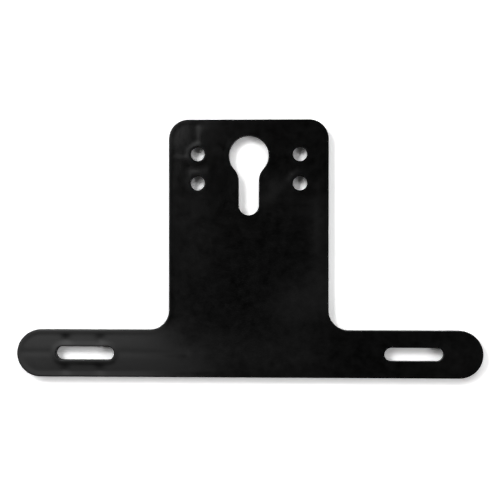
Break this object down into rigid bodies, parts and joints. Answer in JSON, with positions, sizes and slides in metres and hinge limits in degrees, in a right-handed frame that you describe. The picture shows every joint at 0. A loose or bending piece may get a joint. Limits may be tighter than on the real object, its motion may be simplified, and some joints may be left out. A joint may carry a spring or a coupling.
{
  "type": "license plate bracket",
  "caption": "Flat black plastic license plate bracket: an upside-down T with a keyhole and bolt holes in its stem and a slot near each end of its cross arm.",
  "frame": {"origin": "on the back face, under the middle of the plate's outline", "axes": "+X along the cross arm, to the right as seen from the front; +Y up the stem, away from the arm; +Z out of the front face, which is up as the part lies"},
  "size_m": [0.2518, 0.1392, 0.0048],
  "materials": {
    "black_plastic": "satin as moulded, with faint sink marks and flow lines"
  },
  "bodies": {
    "root": {"bracket_plate": "black_plastic"}
  },
  "joints": []
}
